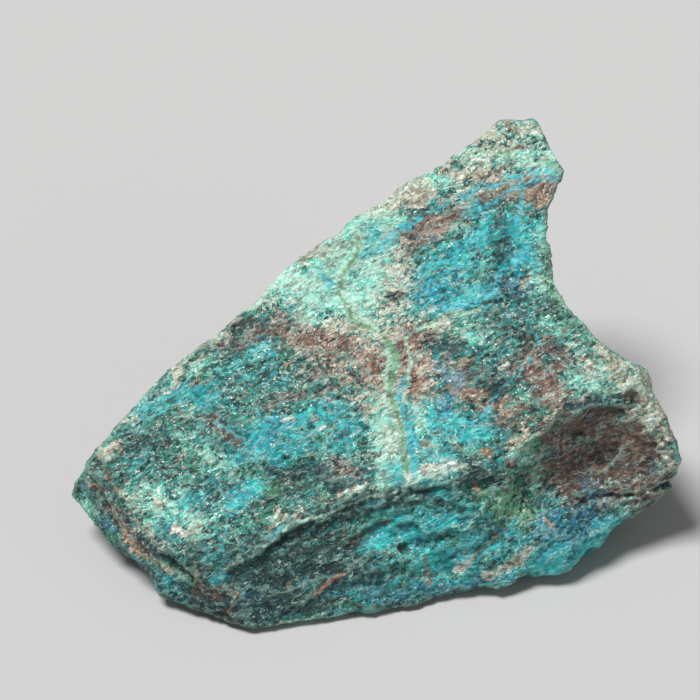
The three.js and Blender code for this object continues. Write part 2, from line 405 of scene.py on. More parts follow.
        Patch([(-14, 58), (-4, 54), (10, 56)], 5.0, 0.42),
        Patch([(18, 93), (24, 96), (36, 98)], 3.4, 0.5),
        Patch([(44, 58), (54, 50), (62, 40)], 3.5, 0.48),
    ),
    # Rusty and copper-coloured stains.
    Mineral.OCHRE: (
        Patch([(-56, 26), (-53, 20.5), (-49, 16), (-44, 14)], 1.1, 0.95),
        Patch([(-57.5, 35), (-55, 30)], 1.0, 0.9),
        Patch([(-46.5, 28.5), (-45.5, 27.8)], 1.1, 1.1),
        Patch([(-61, 31.6), (-60.3, 31)], 1.0, 1.1),
        Patch([(10.2, 40.8), (11, 40.3)], 1.0, 1.2),
        Patch([(23, 38.8), (24, 38.3)], 1.0, 1.2),
        Patch([(47.5, 35.4), (50.5, 34.2)], 0.9, 1.1),
        Patch([(35, 92.3), (36.2, 93.6)], 0.9, 1.1),
        Patch([(-39, 53), (-37.5, 54)], 1.0, 1.1),
        Patch([(13, 98.5), (16, 100)], 0.9, 0.8),
        Patch([(31, 74.5), (33, 76)], 0.8, 0.9),
        Patch([(-14, 45.5), (-12.5, 46)], 0.9, 0.8),
    ),
}

SEAMS: dict[Vein, tuple[Seam, ...]] = {
    # The vein that runs down the middle of the show face.
    Vein.MALACHITE: (
        Seam([(-3.4, 85), (-3.5, 82), (-6.3, 78.3), (-7.2, 75.3), (-7.5, 72.9)], 0.25),
        Seam([(-7.5, 72.9), (-6.1, 69.5), (-5, 67), (-1.9, 65.4), (1, 63.8), (2.6, 62.2)], 0.3),
        Seam([(2.6, 62.2), (3.9, 59.6), (4.1, 56.8), (3.2, 53.1)], 0.5),
        Seam([(3.2, 53.1), (3.4, 49.8), (4.4, 46.9), (5.3, 42.7), (6.3, 39), (6.8, 35)], 0.25),
    ),
    # Blue streaks beside that vein, on the horn, on the right of the show face and on the left slope.
    Vein.CYAN: (
        Seam([(5.9, 54.4), (5.7, 51), (5.3, 48.1)], 0.8),
        Seam([(5.3, 48.1), (6.6, 44), (8, 39), (8.4, 34)], 0.55),
        Seam([(-11.5, 77.5), (-8, 73)], 0.6),
        Seam([(-3, 80.7), (0, 81), (3, 83.5), (5.5, 86.5), (11, 90)], 0.6),
        Seam([(38, 99), (31.6, 98.1), (26.9, 96.7), (22.4, 95.2), (18.8, 93.1), (11.7, 90.3)], 0.5),
        Seam([(11.7, 90.3), (5.3, 87), (1, 83)], 0.5),
        Seam([(39.4, 97.8), (33, 96.3), (28.8, 94.6), (25.8, 92.5), (22.5, 91)], 0.45),
        Seam([(33, 82.5), (27.3, 77.9), (24, 72), (17, 69.5), (11.7, 68)], 0.5),
        Seam([(33, 58.3), (27, 52.7), (22.4, 46.5)], 0.35),
        Seam([(31.5, 97.5), (31, 92), (30.5, 86)], 0.4),
        Seam([(-38, 48), (-33, 44), (-29, 42)], 0.15),
        Seam([(-50, 49), (-44, 47), (-38, 47.5)], 0.15),
        Seam([(-30.5, 27), (-32, 19), (-33, 13)], 0.1),
    ),
    # Pale edges of the vein, and a short streak to the right of it; the pale edge of the ridge is a painted
    # highlight along its crushed crest.
    Vein.PALE: (
        Seam([(-23.3, 19.2), (-16.8, 24), (-7.2, 27.3), (5.3, 31.3), (16, 35.4), (18.5, 36.6)], 0.15),
        Seam([(-4.8, 70.6), (-2.3, 67.3), (0.5, 64.9), (1.8, 63.9)], 0.4),
        Seam([(6.8, 63), (7.1, 57.3), (6.4, 49.3)], 0.3),
        Seam([(2.4, 61), (2.3, 56), (2, 50)], 0.35),
        Seam([(9, 65), (15, 67.5), (22, 69)], 0.32),
    ),
    # Copper-coloured slivers, most of them on the lower side.
    Vein.COPPER: (
        Seam([(-12.8, 8.6), (-10.2, 11.4), (-7.4, 13)], 0.2),
        Seam([(-6.3, 19), (-1.2, 22.3), (5, 25.5)], 0.0),
        Seam([(10.4, 16.3), (11.3, 10.7)], 0.15),
        Seam([(26.3, 22), (23, 18.5), (19.4, 15.7), (16, 12)], 0.1),
        Seam([(20.3, 32.2), (22.2, 29.6)], 0.1),
        Seam([(36, 24.6), (38, 22.8)], 0.3),
        Seam([(4, 47), (5, 43.5)], 0.0),
        Seam([(-37.6, 13.9), (-38, 10.7)], 0.1),
        Seam([(-29.4, 9.3), (-30.2, 6.6), (-31.5, 5)], 0.1),
        Seam([(-19.5, 10.5), (-18.2, 11.5)], 0.1),
        Seam([(-50, 24), (-47, 20)], 0.0),
    ),
}

CHIPS: tuple[Chip, ...] = (
    # The left end: the groove that splits off its thin outer sliver, and the undercut below it.
    Chip(-57.0, 26.0, 7.5, 1.6, 2.2, -50, 20),
    Chip(-59.5, 32.5, 4.0, 1.0, 0.9, -75),
    Chip(-40.5, 14.5, 8.0, 2.0, 2.5, -24, -25),
    Chip(-40.0, 10.0, 7.0, 3.0, 1.0, -20),
    Chip(-33.0, 8.2, 7.0, 1.1, 0.9, -6, 20),
    Chip(-31.6, 4.3, 2.6, 1.3, 1.2, -15),
    Chip(-45.0, 23.5, 5.0, 1.6, 0.6, -35),
    Chip(-26.0, 9.0, 6.0, 1.3, 0.9, -38, 25),
    # Under the ridge and down the lower side.
    Chip(-5.0, 27.4, 13.0, 2.3, 2.2, 16, -20),
    Chip(9.0, 30.5, 7.0, 1.2, 1.3, 12, -20),
    Chip(-19.0, 20.5, 8.0, 2.0, 1.6, 30, -20),
    Chip(0.0, 21.7, 7.0, 1.0, 1.0, 30, 20),
    Chip(5.0, 21.0, 4.0, 2.2, 0.8, 25),
    Chip(22.0, 33.0, 5.5, 1.6, 1.8, 6, -25),
    Chip(30.0, 42.0, 6.0, 1.0, 0.9, 42, 15),
    Chip(14.0, 21.0, 9.0, 2.4, 0.9, 22),
    Chip(24.0, 20.0, 7.0, 1.8, 0.8, 38),
    Chip(-12.0, 13.0, 9.0, 2.2, 0.8, 12),
    # Small bites out of the foot's front edge, with teeth left between them.
    Chip(-6.5, 1.4, 3.4, 1.4, 0.9, 6),
    Chip(2.8, 2.6, 2.6, 1.2, 1.0, 4),
    Chip(14.0, 5.6, 3.0, 1.2, 0.9, 10),
    Chip(21.0, 6.5, 3.8, 1.3, 0.9, 12),
    Chip(31.0, 9.5, 3.4, 1.4, 1.0, 20),
    Chip(-22.0, 0.9, 3.2, 1.3, 0.8, -4),
    # The right scar, its overhanging top, its lower steps and the slit in its rim.
    Chip(40.0, 46.5, 7.0, 2.0, 2.0, 12, -25),
    Chip(50.0, 47.5, 7.0, 2.0, 1.8, -8, -25),
    Chip(34.0, 38.0, 5.0, 2.6, 0.7, 60),
    Chip(33.5, 31.0, 4.5, 2.2, 0.7, 105),
    Chip(38.0, 44.0, 5.0, 1.5, 1.2, 45, -20),
    Chip(62.5, 31.2, 4.0, 0.7, 2.6, 5),
    Chip(50.0, 21.2, 4.0, 1.0, 1.3, 48),
    Chip(46.0, 28.3, 9.0, 1.0, 1.0, 8, 20),
    Chip(56.0, 27.6, 6.0, 0.8, 0.8, 14, 20),
    Chip(54.8, 50.3, 3.0, 1.8, 1.2, -20),
    Chip(44.0, 38.0, 7.0, 4.0, 0.8, 15),
    Chip(55.0, 40.0, 6.0, 3.0, 0.7, -20),
    # Shallow breaks over the show face and the horn.
    Chip(-30.0, 40.0, 10.0, 5.0, 0.8, 25),
    Chip(-43.0, 36.0, 8.0, 5.0, 0.7, 30),
    Chip(-12.0, 60.0, 13.0, 4.5, 0.7, 22),
    Chip(-8.0, 40.0, 10.0, 3.5, 0.6, 15),
    Chip(19.0, 76.0, 10.0, 4.5, 0.7, 30),
    Chip(27.0, 81.0, 2.2, 5.0, 0.7, 0),
    Chip(28.0, 60.0, 9.0, 4.0, 0.7, 25),
    Chip(22.0, 48.0, 8.0, 3.0, 0.6, 35),
    Chip(10.0, 70.0, 8.0, 2.0, 0.6, 20),
    Chip(30.0, 103.4, 8.0, 1.0, 0.8, 12, 20),
    Chip(24.0, 98.0, 8.0, 1.6, 0.6, 20),
    Chip(37.0, 80.0, 1.6, 7.0, 0.9, 6),
    Chip(46.0, 58.0, 5.0, 2.4, 0.8, -40),
)

BULGES: tuple[Bulge, ...] = (
    # The rounded swellings of the foot's edge on the right, and small teeth near its middle.
    Bulge(42.0, 15.0, 6.5, 3.2),
    Bulge(49.5, 18.5, 3.4, 2.4),
    Bulge(27.0, 8.5, 3.0, 1.2),
    Bulge(8.6, 4.4, 2.2, 2.6),
    Bulge(-0.8, 4.0, 2.2, 1.4),
)

SOFT_RIMS: tuple[Sequence[Point], ...] = (
    # The left side of the right scar, which runs out gently into the ground beside it.
    [(31, 41), (29.5, 36), (30, 31), (33.5, 26.5)],
)


def shown_place(x: float, rise: float, out: float = 0.0) -> Vector:
    """Turns a place on the leaning show side into a point of the frame.

    Args:
        x: Millimetres to the right of the stone's middle.
        rise: Millimetres up the leaning side from the stone's front foot.
        out: Millimetres square out of the leaning side, towards a viewer.

    Returns:
        The point in metres.
    """
    foot = Vector((0.0, CAD_BOX[0][1], 0.0))
    return foot + (Vector((x, 0.0, 0.0)) + rise * SHOW_UP + out * SHOW_OUT) * MM


def flat_places(points: np.ndarray) -> np.ndarray:
    """Turns points of the frame into places on the leaning show side.

    Args:
        points: Rows of x, y and z in metres.

    Returns:
        Rows of x and rise in millimetres.
    """
    foot = np.array((0.0, CAD_BOX[0][1], 0.0))
    return np.stack([points[:, 0], (points - foot) @ np.array(SHOW_UP)], 1) / MM


def only(piece: bpy.types.Object) -> None:
    """Selects one object and makes it the active one.

    Args:
        piece: The object.
    """
    bpy.ops.object.select_all(action="DESELECT")
    piece.select_set(True)
    bpy.context.view_layer.objects.active = piece


def smoothstep(low: float, high: float, value: np.ndarray) -> np.ndarray:
    """Rises smoothly from 0 at low to 1 at high."""
    share = np.clip((value - low) / (high - low), 0.0, 1.0)
    return share * share * (3.0 - 2.0 * share)


def smoothed(mesh: bpy.types.Mesh, values: np.ndarray, rounds: int) -> np.ndarray:
    """Averages a value over the neighbours of each point, several times over.

    Args:
        mesh: The mesh whose edges say which points are neighbours.
        values: One number for each point.
        rounds: How many times to average.

    Returns:
        One number for each point.
    """
    edges = np.empty(len(mesh.edges) * 2, np.int32)
    mesh.edges.foreach_get("vertices", edges)
    a, b = edges.reshape(-1, 2).T
    size = len(values)
    count = np.bincount(a, minlength=size) + np.bincount(b, minlength=size) + 1
    for _ in range(rounds):
        total = values + np.bincount(a, values[b], size) + np.bincount(b, values[a], size)
        values = total / count
    return values


def wander(flat: np.ndarray) -> np.ndarray:
    """Gives a small smooth shift at each flat point, so that marks on them don't run straight.

    Args:
        flat: Rows of x and rise in millimetres.

    Returns:
        Rows of the shift in x and rise, each under half a millimetre.
    """
    x, rise = flat.T
    quick, slow = 0.22, 0.25
    across = np.sin(rise * 1.15 + np.sin(x * 0.83)) * quick + np.sin(rise * 0.47 + x * 0.31 + 1.0) * slow
    along = np.sin(x * 1.05 + np.sin(rise * 0.77)) * quick + np.sin(x * 0.52 - rise * 0.27 + 2.0) * slow
    return np.stack([across, along], 1)


def path_distance(flat: np.ndarray, path: Sequence[Point]) -> np.ndarray:
    """Measures how far each flat point lies from a path of straight stretches.

    Args:
        flat: Rows of x and rise.
        path: The path's points, at least two.

    Returns:
        The distance of each row, in the same unit.
    """
    nearest = np.full(len(flat), np.inf)
    for start, end in zip(path, path[1:]):
        origin = np.array(start, float)
        stretch = np.array(end, float) - origin
        share = np.clip((flat - origin) @ stretch / (stretch @ stretch), 0.0, 1.0)
        nearest = np.minimum(nearest, np.linalg.norm(flat - origin - share[:, None] * stretch, axis=1))
    return nearest


@dataclass(frozen=True)
class LooseChips:
    """The small chips all over the stone: how many, and the ranges that their sizes are drawn from."""

    count: int = 90
    seed: int = 7
    smallest: float = 1.6
    spread: float = 4.2
    narrowest: float = 0.4
    widest: float = 0.8
    depth: float = 0.13
    tilt: float = 25.0
    facing_viewer: float = 0.5
    gentle: float = 0.5
    underside: float = -0.8


@dataclass(frozen=True)
class Relief:
    """One layer of relief: its texture, lump size and height, and how it is stretched."""

    kind: str
    size: float
    height: float
    stretch: Triple = (1.0, 1.0, 1.0)
    settings: dict[str, Any] = field(default_factory=dict)


COARSE_RELIEF: tuple[Relief, ...] = (
    Relief("CLOUDS", 13.0, 1.4, settings={"noise_depth": 1}),
    Relief("CLOUDS", 9.0, 1.1, (2.6, 1.6, 1.0), {"noise_depth": 3, "use_color_ramp": True}),
    Relief("VORONOI", 4.6, 0.6, (1.8, 1.2, 1.0), {"distance_metric": "DISTANCE"}),
    Relief("CLOUDS", 2.6, 0.5, (1.8, 1.3, 1.0), {"noise_depth": 2, "noise_type": "HARD_NOISE"}),
)
FINE_RELIEF: tuple[Relief, ...] = (
    Relief("CLOUDS", 1.0, 0.42, (2.3, 1.5, 1.0), {"noise_depth": 2}),
    Relief("VORONOI", 1.3, 0.4, (1.3, 1.0, 1.0), {"distance_metric": "DISTANCE"}),
    Relief("CLOUDS", 0.75, 0.3, settings={"noise_depth": 1}),
)
# Places and levels of the ramp that turns smooth lumps into ledges with steep risers.
LEDGES: tuple[Point, ...] = (
    (0.30, 0.0), (0.33, 0.26), (0.44, 0.34), (0.46, 0.55), (0.57, 0.62), (0.585, 0.82), (0.7, 1.0))


@dataclass
class Stone:
    """The lump of rock: its carved mesh and the mineral fields stored on it."""

    grid: float = 0.46
    weld: float = 0.01
    triangles: int = 196_000
    facets: int = 11_000
    chip_bowl: float = 2.5
    far_off: float = 200.0
    foot_start: float = 0.2
    foot_band: float = 2.5
    front_band: float = 10.0
    rim_reach: float = 4.0
    rim_rounds: int = 90
    rim_pull: float = 0.9
    turned_away: float = -0.40
    facing_rounds: int = 4
    upward_rounds: int = 10
    hollow_reaches: tuple[Point, ...] = ((3, 0.10), (14, 0.35))
    patch_fall: float = 0.7
    weight_levels: int = 20
    loose: LooseChips = LooseChips()
    piece: bpy.types.Object = field(init=False)

    def build(self) -> bpy.types.Object:
        """Makes the stone and returns it, riding on the frame and ready to be dressed."""
        self.piece = self.copy_of_solid()
        self.break_named_chips()
        self.break_loose_chips()
        self.refine()
        self.swell()
        self.soften_rims()
        self.press_relief(COARSE_RELIEF)
        self.facet()
        self.press_relief(FINE_RELIEF)
        self.thin()
        self.fit_box()
        self.store_fields()
        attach(self.piece, "root")
        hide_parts(NODE)
        LOG.info("stone: %d triangles", len(self.piece.data.polygons))
        return self.piece

    def copy_of_solid(self) -> bpy.types.Object:
        """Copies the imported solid, and joins its loose triangles into one skin.

        Returns:
            The copy.
        """
        only(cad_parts[NODE])
        bpy.ops.object.duplicate()
        piece = bpy.context.active_object
        piece.name = "chrysocolla_lump"
        piece.parent = None
        bpy.ops.object.mode_set(mode="EDIT")
        bpy.ops.mesh.select_all(action="SELECT")
        bpy.ops.mesh.remove_doubles(threshold=self.weld * MM)
        bpy.ops.object.mode_set(mode="OBJECT")
        return piece

    def modify(self, kind: str, **settings: Any) -> None:
        """Adds one modifier to the stone and applies it.

        Args:
            kind: The modifier's type.
            **settings: Its properties.
        """
        only(self.piece)
        modifier = self.piece.modifiers.new("step", kind)
        for name, value in settings.items():
            setattr(modifier, name, value)
        bpy.ops.object.modifier_apply(modifier=modifier.name)

    def break_one(self, at: Vector, normal: Vector, chip: Chip, along: Vector) -> None:
        """Breaks one shell-shaped chip out of the surface.

        Args:
            at: The point on the surface.
            normal: The outward normal there.
            chip: The chip's size, depth, turn and tilt.
            along: The direction that a turn of 0 follows.
        """
        side = normal.cross(along).normalized()
        ahead = side.cross(normal)
        basis = Matrix((ahead, side, normal)).transposed().to_4x4()
        bowl = self.chip_bowl * chip.depth
        spread = math.sqrt(1.0 - ((bowl - chip.depth) / bowl) ** 2)
        turned = Euler((math.radians(chip.tilt), 0.0, 0.0)).to_matrix().to_4x4()
        spun = Matrix.Rotation(math.radians(chip.turn), 4, "Z")
        radii = Vector((chip.length / spread, chip.width / spread, bowl)) * MM
        bpy.ops.object.select_all(action="DESELECT")
        bpy.ops.mesh.primitive_ico_sphere_add(subdivisions=3, radius=1.0)
        cutter = bpy.context.active_object
        place = Matrix.Translation(at + normal * (bowl - chip.depth) * MM)
        shape = Matrix.Diagonal((radii.x, radii.y, radii.z, 1.0))
        cutter.data.transform(place @ basis @ spun @ turned @ shape)
        self.modify("BOOLEAN", object=cutter, operation="DIFFERENCE", solver="MANIFOLD")
        mesh = cutter.data
        bpy.data.objects.remove(cutter)
        bpy.data.meshes.remove(mesh)

    def break_named_chips(self) -> None:
        """Breaks the named chips out of the show side."""
        for chip in CHIPS:
            start = shown_place(chip.x, chip.rise, self.far_off)
            hit, at, normal, _ = self.piece.ray_cast(start, -SHOW_OUT)
            if hit:
                self.break_one(at, normal, chip, Vector((1.0, 0.0, 0.0)))

    def break_loose_chips(self) -> None:
        """Breaks small chips out of the stone all over, gentler ones on the show side."""
        loose = self.loose
        draw = random.Random(loose.seed)
        middle = (Vector(CAD_BOX[0]) + Vector(CAD_BOX[1])) / 2
        for _ in range(loose.count):
            way = Vector([draw.gauss(0, 1) for _ in range(3)]).normalized()
            size = loose.smallest + loose.spread * draw.random() ** 2
            width = size * draw.uniform(loose.narrowest, loose.widest)
            turn = draw.uniform(0, 360)
            tilt = draw.uniform(-loose.tilt, loose.tilt)
            hit, at, normal, _ = self.piece.ray_cast(middle + way * self.far_off * MM, -way)
            gentle = loose.gentle if normal.dot(SHOW_OUT) > loose.facing_viewer else 1.0
            chip = Chip(0, 0, size, width, size * loose.depth * gentle, turn, tilt * gentle**2)
            if hit and normal.z > loose.underside:
                self.break_one(at, normal, chip, normal.orthogonal().normalized())

    def refine(self) -> None:
        """Gives the stone an even fine grid, and softens the flat facets between its edges."""
        self.modify("REMESH", mode="VOXEL", voxel_size=self.grid * MM)
        self.modify("SMOOTH", factor=0.5, iterations=3)

    def collapse_to(self, triangles: int) -> None:
        """Collapses the mesh to a number of triangles, which keeps the detail where the relief is."""
        now = sum(len(face.vertices) - 2 for face in self.piece.data.polygons)
        self.modify("DECIMATE", ratio=triangles / now)

    def facet(self) -> None:
        """Turns the coarse relief into flat crisp facets, as broken rock has, on a fine grid again."""
        self.collapse_to(self.facets)
        self.modify("REMESH", mode="VOXEL", voxel_size=self.grid * MM)

    def group(self, name: str, weights: np.ndarray) -> str:
        """Stores one weight per point as a vertex group.

        Args:
            name: The group's name.
            weights: The weights, from 0 to 1.

        Returns:
            The name.
        """
        group = self.piece.vertex_groups.new(name=name)
        steps = np.round(weights * self.weight_levels).astype(int)
        for step in range(1, self.weight_levels + 1):
            members = np.nonzero(steps == step)[0]
            group.add(members.tolist(), step / self.weight_levels, "REPLACE")
        return group.name

    def swell(self) -> None:
        """Swells the foot's edge forward at the bulges, level with the floor."""
        points = self.points()
        flat = flat_places(points)
        for bulge in BULGES:
            away = np.linalg.norm(flat - np.array((bulge.x, bulge.rise)), axis=1)
            points[:, 1] -= bulge.height * MM * np.exp(-((away / bulge.reach) ** 2))
        self.piece.data.vertices.foreach_set("co", points.ravel())
        self.piece.data.update()

    def soften_rims(self) -> None:
        """Wears down the rims that would stand out as clean round edges."""
        points = self.points()
        flat = flat_places(points)
        front = smoothstep(self.front_band * MM, -self.front_band * MM, points[:, 1])
        for path in SOFT_RIMS:
            weights = np.exp(-((path_distance(flat, path) / self.rim_reach) ** 2)) * front
            rim = self.group("rim", weights)
            self.modify("SMOOTH", factor=self.rim_pull, iterations=self.rim_rounds, vertex_group=rim)
            self.piece.vertex_groups.clear()

    def press_relief(self, layers: Sequence[Relief]) -> None:
        """Presses layers of broken relief into the surface, everywhere but on the flat underside.

        Args:
            layers: The layers, coarse to fine.
        """
        heights = self.points()[:, 2]
        group = self.group("above_foot", smoothstep(self.foot_start * MM, self.foot_band * MM, heights))
        leant = Euler((-LEAN, 0.0, 0.0)).to_matrix()
        bedding = leant @ Euler((0.0, -BEDDING_TURN, 0.0)).to_matrix()
        bpy.ops.object.select_all(action="DESELECT")
        for layer in layers:
            bpy.ops.object.empty_add()
            guide = bpy.context.active_object
            guide.matrix_world = (bedding @ Matrix.Diagonal(Vector(layer.stretch))).to_4x4()
            bpy.context.view_layer.update()
            texture = bpy.data.textures.new("relief", layer.kind)
            texture.noise_scale = layer.size * MM
            for name, value in layer.settings.items():
                setattr(texture, name, value)
            if texture.use_color_ramp:
                self.step_ramp(texture.color_ramp)
            self.modify("DISPLACE", texture=texture, texture_coords="OBJECT", texture_coords_object=guide,
                        strength=layer.height * MM, mid_level=0.5, vertex_group=group)
            bpy.data.objects.remove(guide)
            bpy.data.textures.remove(texture)
        self.piece.vertex_groups.clear()

    def step_ramp(self, ramp: bpy.types.ColorRamp) -> None:
        """Sets a ramp that turns smooth lumps into ledges.

        Args:
            ramp: The texture's colour ramp.
        """
        ramp.elements.remove(ramp.elements[1])
        ramp.elements[0].position = 0.0
        ramp.elements[0].color = (0.0, 0.0, 0.0, 1.0)
        for place, level in LEDGES:
            stop = ramp.elements.new(place)
            stop.color = (level, level, level, 1.0)

    def thin(self) -> None:
        """Collapses the mesh to its triangle budget and leaves it clean, smooth and bare."""
        self.collapse_to(self.triangles)
        bpy.ops.object.mode_set(mode="EDIT")
        bpy.ops.mesh.select_all(action="SELECT")
        bpy.ops.mesh.quads_convert_to_tris()
        bpy.ops.mesh.delete_loose()
        bpy.ops.mesh.normals_make_consistent(inside=False)
        bpy.ops.object.mode_set(mode="OBJECT")
        bpy.ops.object.shade_smooth()
        self.piece.data.materials.clear()

    def read(self, name: str) -> np.ndarray:
        """Reads one property of the mesh's points.

        Args:
            name: "co" for their places, or "normal" for the outward normals there.

        Returns:
            Rows of x, y and z.
        """
        flat = np.empty(len(self.piece.data.vertices) * 3, np.float32)
        self.piece.data.vertices.foreach_get(name, flat)
        return flat.reshape(-1, 3)

    def points(self) -> np.ndarray:
        """Reads the mesh's points as rows of x, y and z."""
        return self.read("co")

    def fit_box(self) -> None:
        """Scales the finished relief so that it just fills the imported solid's box."""
        points = self.points()
        low, high = points.min(0), points.max(0)
        frame_low, frame_high = Vector(CAD_BOX[0]), Vector(CAD_BOX[1])
        spans = [(frame_high[i] - frame_low[i]) / float(high[i] - low[i]) for i in range(3)]
        shift = Vector([frame_low[i] - float(low[i]) * spans[i] for i in range(3)])
        self.piece.data.transform(Matrix.Translation(shift) @ Matrix.Diagonal((*spans, 1.0)))
        self.piece.data.update()

    def store_fields(self) -> None:
        """Stores the mineral levels, the vein distances and the surface's lie on the mesh's points."""
        points = self.points()
        normals = self.read("normal")
        facing = smoothed(self.piece.data, normals @ np.array(SHOW_OUT), self.facing_rounds)
        shown = smoothstep(self.turned_away, 0.0, facing)
        flat = flat_places(points)
        flat = flat + wander(flat)
        for mineral, patches in PATCHES.items():
            level = np.zeros(len(points))
            for patch in patches:
                away = path_distance(flat, patch.path) / patch.width
                level = np.maximum(level, patch.strength * np.exp(-(away**2) * self.patch_fall))
            self.store(mineral.value, level * shown)
        for vein, seams in SEAMS.items():
            distance = np.full(len(points), FAR_FROM_VEIN)
            for seam in seams:
                distance = np.minimum(distance, path_distance(flat, seam.path) - seam.width)
            self.store(vein.value, distance + FAR_FROM_VEIN * (1.0 - shown))
        self.store("shown", shown)
        # How much each point faces up, which sets where grains and painted glints show most.
        self.store("upward", smoothed(self.piece.data, normals[:, 2], self.upward_rounds))
        # How deep each point lies in a hollow; the shader paints shade in the hollows and a highlight on
        # the edges from it.
        self.store("hollow", self.hollows(points, normals))

    def hollows(self, points: np.ndarray, normals: np.ndarray) -> np.ndarray:
        """Measures how deep each point lies in a hollow, first over a short reach and then a longer one.

        Args:
            points: Rows of x, y and z in metres.
            normals: The outward normals there.

        Returns:
            One number for each point, from 0 on an edge to 1 in a pit.
        """
        total = np.zeros(len(points))
        for rounds, reach in self.hollow_reaches:
            around = np.stack([smoothed(self.piece.data, points[:, axis], rounds) for axis in range(3)], 1)
            depth = ((around - points) * normals).sum(1) / (reach * MM)
            total += 0.5 * np.clip(depth, -1.0, 1.0)
        return 0.5 + 0.5 * total

    def store(self, name: str, values: np.ndarray) -> None:
        """Adds one number per point to the mesh under a name."""
        layer = self.piece.data.attributes.new(name, "FLOAT", "POINT")
        layer.data.foreach_set("value", values.astype(np.float32))


class Bench:
    """A material's node tree, with one method that adds any node."""

    # The numbers of the Mix node's colour sockets, which share their names with its other ones.
    COLOUR_ONE = 6
    COLOUR_TWO = 7
    COLOUR_OUT = 2

    def __init__(self, name: str) -> None:
        """Starts an empty material.

        Args:
            name: The material's name.
        """
        self.material = bpy.data.materials.new(name)
        self.material.use_nodes = True
        self.tree = self.material.node_tree
        self.tree.nodes.clear()

    def node(self, kind: str, settings: dict[str, Any] | None = None,
             inputs: dict[str | int, Any] | None = None, output: str | int = 0) -> "Socket":
        """Adds a node, sets it up, feeds it, and returns one of its outputs.

        Args:
            kind: The node's type.
            settings: Properties that are set first.
            inputs: Values or other sockets, by the name or number of the input.
            output: The name or number of the output to return.

        Returns:
            The wrapped output.
        """
        node = self.tree.nodes.new(kind)
        for name, value in (settings or {}).items():
            setattr(node, name, value)
        for name, value in (inputs or {}).items():
            if isinstance(value, Socket):
                self.tree.links.new(value.socket, node.inputs[name])
            else:
                node.inputs[name].default_value = value
        return Socket(self, node.outputs[output] if len(node.outputs) else None, node)

    def noise(self, place: "Socket", scale: float, detail: float = 3.0, rough: float = 0.55) -> "Socket":
        """Adds a noise texture and returns it; its value runs from about 0.2 to 0.8."""
        return self.node("ShaderNodeTexNoise", {"noise_dimensions": "3D"},
                         {"Vector": place, "Scale": scale, "Detail": detail, "Roughness": rough})

    def three_noises(self, place: "Socket", scale: float, detail: float = 3.0) -> tuple["Socket", ...]:
        """Adds one colour noise and returns its three channels as separate values."""
        return self.channels(self.noise(place, scale, detail).other("Color"))

    def channels(self, colour: "Socket") -> tuple["Socket", ...]:
        """Splits a colour into its three channels."""
        parts = self.node("ShaderNodeSeparateColor", {}, {"Color": colour})
        return tuple(parts.other(name) for name in CHANNELS)

    def vector(self, operation: str, one: Any, two: Any) -> "Socket":
        """Adds a Vector Math node."""
        return self.node("ShaderNodeVectorMath", {"operation": operation}, {0: one, 1: two})

    def mix(self, share: Any, one: Any, two: Any, blend: str = "MIX") -> "Socket":
        """Mixes two colours.

        Args:
            share: How much of the second one shows, from 0 to 1.
            one: The first colour.
            two: The second colour.
            blend: The way that they are blended.

        Returns:
            The mixed colour.
        """
        settings = {"data_type": "RGBA", "blend_type": blend, "clamp_factor": True}
        inputs = {0: share, self.COLOUR_ONE: one, self.COLOUR_TWO: two}
        return self.node("ShaderNodeMix", settings, inputs, self.COLOUR_OUT)

    def attribute(self, name: str) -> "Socket":
        """Reads a number stored on the mesh."""
        return self.node("ShaderNodeAttribute", {"attribute_name": name}, {}, "Fac")


class Socket:
    """A node's output that can be used in Python expressions."""

    def __init__(self, bench: Bench, socket: Any, node: Any) -> None:
        """Wraps one output of a node.

        Args:
            bench: The node tree that it belongs to.
            socket: The output itself.
            node: Its node.
        """
        self.bench = bench
        self.socket = socket
        self.node = node

    def other(self, name: str) -> "Socket":
        """Returns another output of the same node."""
        return Socket(self.bench, self.node.outputs[name], self.node)

    def math(self, operation: str, one: Any, two: Any = 0.0) -> "Socket":
        """Adds a Math node on two values."""
        return self.bench.node("ShaderNodeMath", {"operation": operation}, {0: one, 1: two})

    def __add__(self, other: Any) -> "Socket":
        """Adds two values."""
        return self.math("ADD", self, other)

    __radd__ = __add__

    def __sub__(self, other: Any) -> "Socket":
        """Takes a value away."""
        return self.math("SUBTRACT", self, other)

    def __rsub__(self, other: Any) -> "Socket":
        """Takes this value away from another."""
        return self.math("SUBTRACT", other, self)

    def __mul__(self, other: Any) -> "Socket":
        """Multiplies two values."""
        return self.math("MULTIPLY", self, other)

    __rmul__ = __mul__

    def size(self) -> "Socket":
        """Drops the sign of a value."""
        return self.math("ABSOLUTE", self)

    def ramp(self, low: float, high: float) -> "Socket":
        """Rises smoothly from 0 at low to 1 at high, or falls the same way where high is below low.

        Args:
            low: The value that gives 0.
            high: The value that gives 1.

        Returns:
            The ramped value.
        """
        settings = {"interpolation_type": "SMOOTHSTEP", "clamp": True}
        ends = (low, high, 0.0, 1.0) if high > low else (high, low, 1.0, 0.0)
        keys = ("From Min", "From Max", "To Min", "To Max")
        return self.bench.node("ShaderNodeMapRange", settings, {"Value": self, **dict(zip(keys, ends))})


